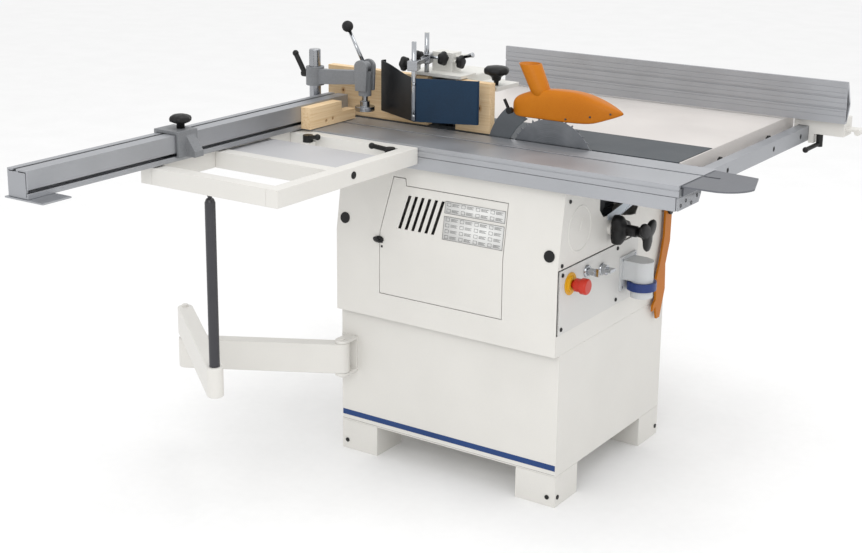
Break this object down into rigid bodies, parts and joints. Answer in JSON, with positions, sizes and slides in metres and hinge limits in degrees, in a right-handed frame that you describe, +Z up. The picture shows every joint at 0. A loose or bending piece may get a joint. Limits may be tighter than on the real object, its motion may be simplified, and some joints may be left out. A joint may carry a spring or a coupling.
{
  "type": "panel saw",
  "caption": "Sliding-table panel saw with tilting blade, spindle moulder, outrigger frame on a swing arm, squaring fence, rip fence and shaper guard on a sheet-steel cabinet.",
  "frame": {"origin": "on the floor at the centre of the base's four floor-bolt holes", "axes": "+Z up, +X towards the operator's end with the controls, -Y towards the sliding table and outrigger frame, +Y towards the rip fence"},
  "size_m": [1.447, 1.929, 1.137],
  "materials": {
    "aluminium": "extruded and anodised, satin, fine lines along its length",
    "black_plastic": "moulded, satin",
    "blade_steel": "ground in circles",
    "cabinet_paint": "semi-gloss off-white powder coat with faint orange peel",
    "cast_grey": "fine cast surface, grey",
    "cast_iron": "ground flat, dark blue-grey, oiled",
    "estop_red": "moulded, glossy",
    "estop_yellow": "moulded",
    "guard_navy": "glossy dark blue enamel",
    "guard_orange": "moulded, slightly glossy",
    "inlet_blue": "moulded, glossy",
    "inlet_grey": "moulded, light grey",
    "motor_paint": "painted cast housing",
    "panel_grey": "satin, slightly darker than the cabinet",
    "pine": "planed pale pine with knots",
    "pole_black": "satin charcoal",
    "shelf_board": "satin pale lavender grey",
    "steel": "turned and ground"
  },
  "bodies": {
    "machine": {"base_cabinet": "cabinet_paint", "cabinet_front": "cabinet_paint", "cabinet_shell": "cabinet_paint", "tilt_cover": "cabinet_paint", "control_panel": "panel_grey", "black_fittings": "black_plastic", "estop_collar": "estop_yellow", "power_inlet": "inlet_grey", "inlet_ring": "inlet_blue", "push_stick": "guard_orange", "cast_table": "cast_iron", "spindle_ring": "cast_iron", "extension_table": "cabinet_paint", "fence_rail": "aluminium", "slide_beam": "aluminium", "arm_bracket": "cabinet_paint", "shaper_hood": "cabinet_paint"},
    "door": {"access_door": "cabinet_paint"},
    "emergency_stop": {"estop_button": "estop_red"},
    "key": {"key_switch": "steel"},
    "mains_switch": {"rotary_switch": "steel"},
    "crank": {"rise_crank": "black_plastic"},
    "tilt_lock": {"tilt_lock_knob": "black_plastic"},
    "carriage": {"sliding_table": "aluminium", "end_plate": "cast_grey", "outrigger_frame": "cabinet_paint", "frame_shelf": "shelf_board", "squaring_fence": "aluminium", "fence_wood_block": "pine", "clamp_column": "steel"},
    "frame_lever_a": {"frame_lever_left": "black_plastic"},
    "frame_lever_b": {"frame_lever_right": "black_plastic"},
    "stop": {"stop_saddle": "cast_grey"},
    "stop_clamp": {"stop_knob": "black_plastic"},
    "clamp": {"clamp_arm": "cast_grey"},
    "clamp_foot": {"clamp_pad": "steel"},
    "clamp_handle": {"clamp_hand_lever": "steel"},
    "clamp_lock": {"clamp_lock_lever": "black_plastic"},
    "lower_arm": {"swing_arm": "cabinet_paint"},
    "upper_arm": {"support_arm": "cabinet_paint", "support_pole": "pole_black"},
    "fence_carrier": {"rip_carrier": "cabinet_paint"},
    "fence": {"rip_fence": "aluminium"},
    "fence_lock": {"rip_lock_lever": "black_plastic"},
    "left_board": {"fence_board_left": "pine"},
    "right_board": {"fence_board_right": "pine"},
    "hood_clamp": {"hood_knob": "black_plastic"},
    "presser_carrier": {"presser_arm": "steel"},
    "presser": {"presser_guard": "guard_navy"},
    "spindle_unit": {"spindle_quill": "motor_paint"},
    "spindle": {"spindle_shaft": "steel"},
    "saw_tilt": {"tilt_frame": "motor_paint"},
    "saw_unit": {"saw_slide": "motor_paint", "saw_motor": "motor_paint", "riving_knife": "steel"},
    "arbor": {"saw_arbor": "steel", "saw_blade": "blade_steel"},
    "motor_shaft": {"motor_pulley": "steel"},
    "guard": {"blade_guard": "guard_orange"},
    "guard_clamp": {"guard_lever": "black_plastic"}
  },
  "joints": [
    {"name": "door_hinge", "type": "hinge", "parent": "machine", "child": "door", "pos_m": [0.17575, -0.3095, 0.6], "axis": [0, 0, 1], "range_deg": [0, 110]},
    {"name": "estop_press", "type": "slide", "parent": "machine", "child": "emergency_stop", "axis": [-1, 0, 0], "range_m": [0, 0.006], "stiffness_N_per_m": 1500},
    {"name": "key_turn", "type": "hinge", "parent": "machine", "child": "key", "pos_m": [0.329, -0.165, 0.584], "axis": [1, 0, 0], "range_deg": [0, 90]},
    {"name": "mains_turn", "type": "hinge", "parent": "machine", "child": "mains_switch", "pos_m": [0.329, -0.086, 0.57], "axis": [1, 0, 0], "range_deg": [0, 90]},
    {"name": "rise_crank_turn", "type": "hinge", "parent": "machine", "child": "crank", "pos_m": [0.328, -0.045, 0.666], "axis": [1, 0, 0], "range_deg": [-2160, 432]},
    {"name": "tilt_lock_turn", "type": "hinge", "parent": "crank", "child": "tilt_lock", "pos_m": [0.328, -0.045, 0.666], "axis": [1, 0, 0], "range_deg": [-180, 180]},
    {"name": "table_slide", "type": "slide", "parent": "machine", "child": "carriage", "axis": [1, 0, 0], "range_m": [-0.6, 0]},
    {"name": "arm_shoulder", "type": "hinge", "parent": "machine", "child": "lower_arm", "pos_m": [-0.294, -0.334, 0], "axis": [0, 0, 1], "range_deg": [-20, 5]},
    {"name": "arm_elbow", "type": "hinge", "parent": "lower_arm", "child": "upper_arm", "pos_m": [-0.656, -0.537, 0], "axis": [0, 0, 1], "range_deg": [-60, 5]},
    {"name": "frame_lever_left_turn", "type": "hinge", "parent": "carriage", "child": "frame_lever_a", "pos_m": [-0.378, -0.362, 0.85], "axis": [0, 0, 1], "range_deg": [-60, 0]},
    {"name": "frame_lever_right_turn", "type": "hinge", "parent": "carriage", "child": "frame_lever_b", "pos_m": [-0.122, -0.362, 0.85], "axis": [0, 0, 1], "range_deg": [0, 60]},
    {"name": "stop_slide", "type": "slide", "parent": "carriage", "child": "stop", "axis": [0, 1, 0], "range_m": [-0.4, 0.35]},
    {"name": "stop_knob_turn", "type": "hinge", "parent": "stop", "child": "stop_clamp", "pos_m": [-0.452, -0.747, 0.945], "axis": [0, 0, 1], "range_deg": [-180, 180]},
    {"name": "clamp_swivel", "type": "hinge", "parent": "carriage", "child": "clamp", "pos_m": [-0.52, -0.15, 0.975], "axis": [0, 0, 1], "range_deg": [-20, 0]},
    {"name": "clamp_pad_drop", "type": "slide", "parent": "clamp", "child": "clamp_foot", "axis": [0, 0, 1], "range_m": [-0.03, 0]},
    {"name": "clamp_handle_swing", "type": "hinge", "parent": "clamp", "child": "clamp_handle", "pos_m": [-0.342, -0.166, 1.023], "axis": [0, 1, 0], "range_deg": [-20, 60]},
    {"name": "clamp_lock_turn", "type": "hinge", "parent": "clamp", "child": "clamp_lock", "pos_m": [-0.5455, -0.15, 0.981], "axis": [1, 0, 0], "range_deg": [-60, 60]},
    {"name": "fence_slide", "type": "slide", "parent": "machine", "child": "fence_carrier", "axis": [0, 1, 0], "range_m": [-0.42, 0.02]},
    {"name": "fence_length_slide", "type": "slide", "parent": "fence_carrier", "child": "fence", "axis": [1, 0, 0], "range_m": [-0.15, 0.1]},
    {"name": "fence_lock_turn", "type": "hinge", "parent": "fence_carrier", "child": "fence_lock", "pos_m": [0.62, 0.6043, 0.83], "axis": [0, 0, 1], "range_deg": [-10, 40]},
    {"name": "left_board_slide", "type": "slide", "parent": "machine", "child": "left_board", "axis": [1, 0, 0], "range_m": [-0.04, 0.02]},
    {"name": "right_board_slide", "type": "slide", "parent": "machine", "child": "right_board", "axis": [1, 0, 0], "range_m": [-0.02, 0]},
    {"name": "hood_knob_turn", "type": "hinge", "parent": "machine", "child": "hood_clamp", "pos_m": [-0.024, -0.028, 0.99], "axis": [0, 0, 1], "range_deg": [-180, 180]},
    {"name": "presser_arm_slide", "type": "slide", "parent": "machine", "child": "presser_carrier", "axis": [0, 0, 1], "range_m": [0, 0.04]},
    {"name": "presser_slide", "type": "slide", "parent": "presser_carrier", "child": "presser", "axis": [0, 0, 1], "range_m": [-0.025, 0.015]},
    {"name": "spindle_rise", "type": "slide", "parent": "machine", "child": "spindle_unit", "axis": [0, 0, 1], "range_m": [-0.06, 0.012]},
    {"name": "spindle_spin", "type": "hinge", "parent": "spindle_unit", "child": "spindle", "pos_m": [-0.15, -0.01, 0.7], "axis": [0, 0, 1], "continuous": true},
    {"name": "saw_tilt_hinge", "type": "hinge", "parent": "machine", "child": "saw_tilt", "pos_m": [0, -0.1, 0.87], "axis": [-1, 0, 0], "range_deg": [0, 45]},
    {"name": "saw_rise", "type": "slide", "parent": "saw_tilt", "child": "saw_unit", "axis": [0, 0, 1], "range_m": [-0.06, 0.012]},
    {"name": "arbor_spin", "type": "hinge", "parent": "saw_unit", "child": "arbor", "pos_m": [0.185, -0.1, 0.813], "axis": [0, 1, 0], "continuous": true},
    {"name": "motor_spin", "type": "hinge", "parent": "saw_unit", "child": "motor_shaft", "pos_m": [0.185, 0, 0.672], "axis": [0, 1, 0], "continuous": true},
    {"name": "guard_pivot", "type": "hinge", "parent": "saw_unit", "child": "guard", "pos_m": [0.084, -0.1, 0.95], "axis": [0, -1, 0], "range_deg": [0, 20]},
    {"name": "guard_lever_turn", "type": "hinge", "parent": "guard", "child": "guard_clamp", "pos_m": [0.084, -0.14, 0.95], "axis": [0, 1, 0], "range_deg": [-60, 60]}
  ],
  "couplings": [
    {"joint": "arm_shoulder", "follows": "table_slide", "rad_per_m": 0.567},
    {"joint": "arm_elbow", "follows": "table_slide", "rad_per_m": 1.644},
    {"joint": "rise_crank_turn", "follows": "saw_rise", "rad_per_m": 628.32},
    {"joint": "motor_spin", "follows": "arbor_spin", "ratio": 0.75}
  ]
}
